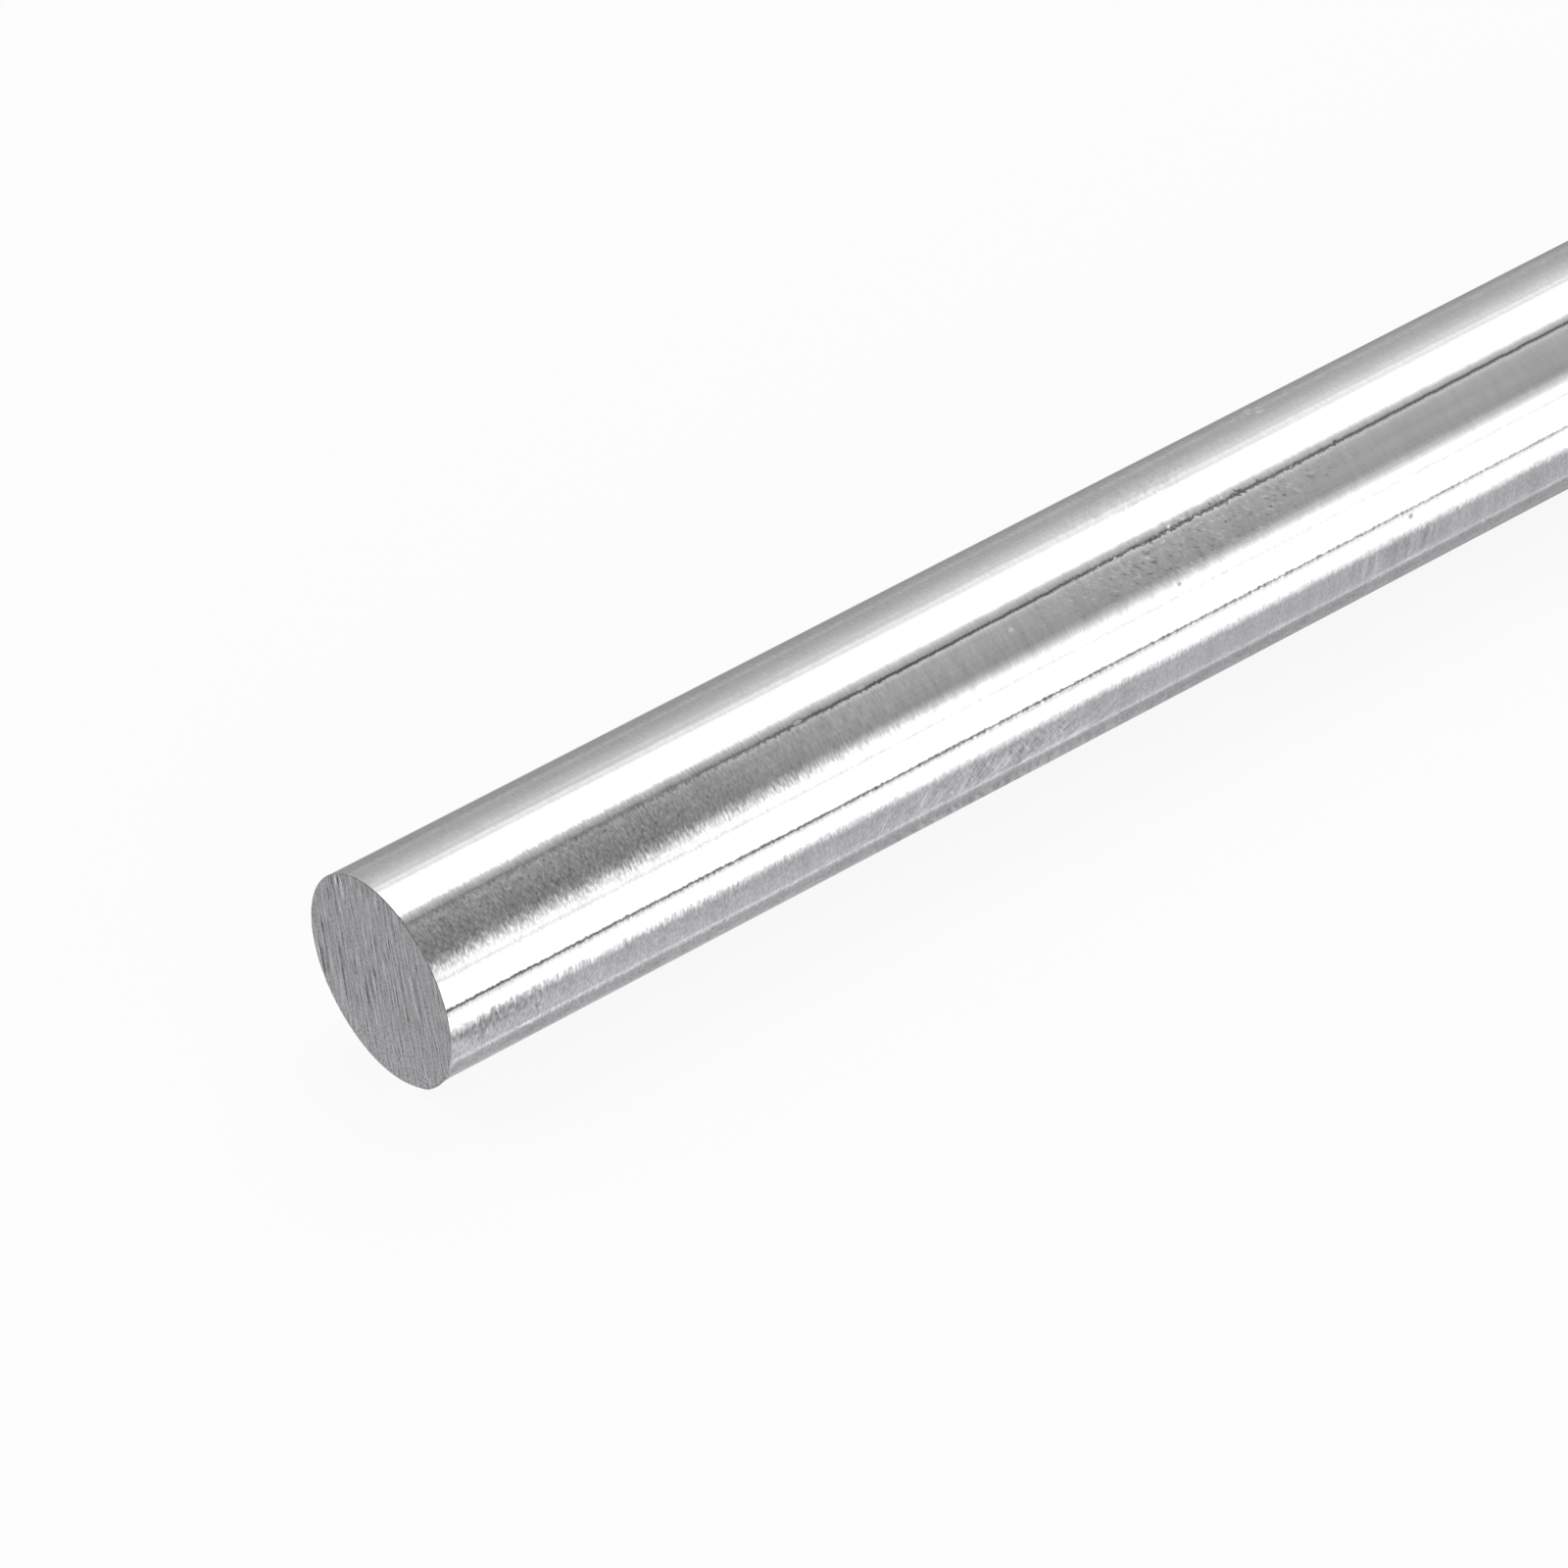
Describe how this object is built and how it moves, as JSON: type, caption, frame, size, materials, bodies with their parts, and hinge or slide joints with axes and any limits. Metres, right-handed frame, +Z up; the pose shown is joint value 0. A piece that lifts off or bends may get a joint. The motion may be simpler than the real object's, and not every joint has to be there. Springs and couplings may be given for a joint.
{
  "type": "round metal bar",
  "caption": "Solid round steel bar, ground bright along its side and cut square at both ends; stock for shafts, pins and turned parts.",
  "frame": {"origin": "the point on the floor below the middle of the bar, which lies on its side", "axes": "+X along the bar, from the near cut end to the far one; +Z up; the bar's axis is at z = 5 mm"},
  "size_m": [0.2, 0.01, 0.01],
  "materials": {
    "ground_steel": "bright, ground round the side with fine marks that run round the bar; end faces dull grey with straight grinding marks"
  },
  "bodies": {
    "root": {"round_bar": "ground_steel"}
  },
  "joints": []
}
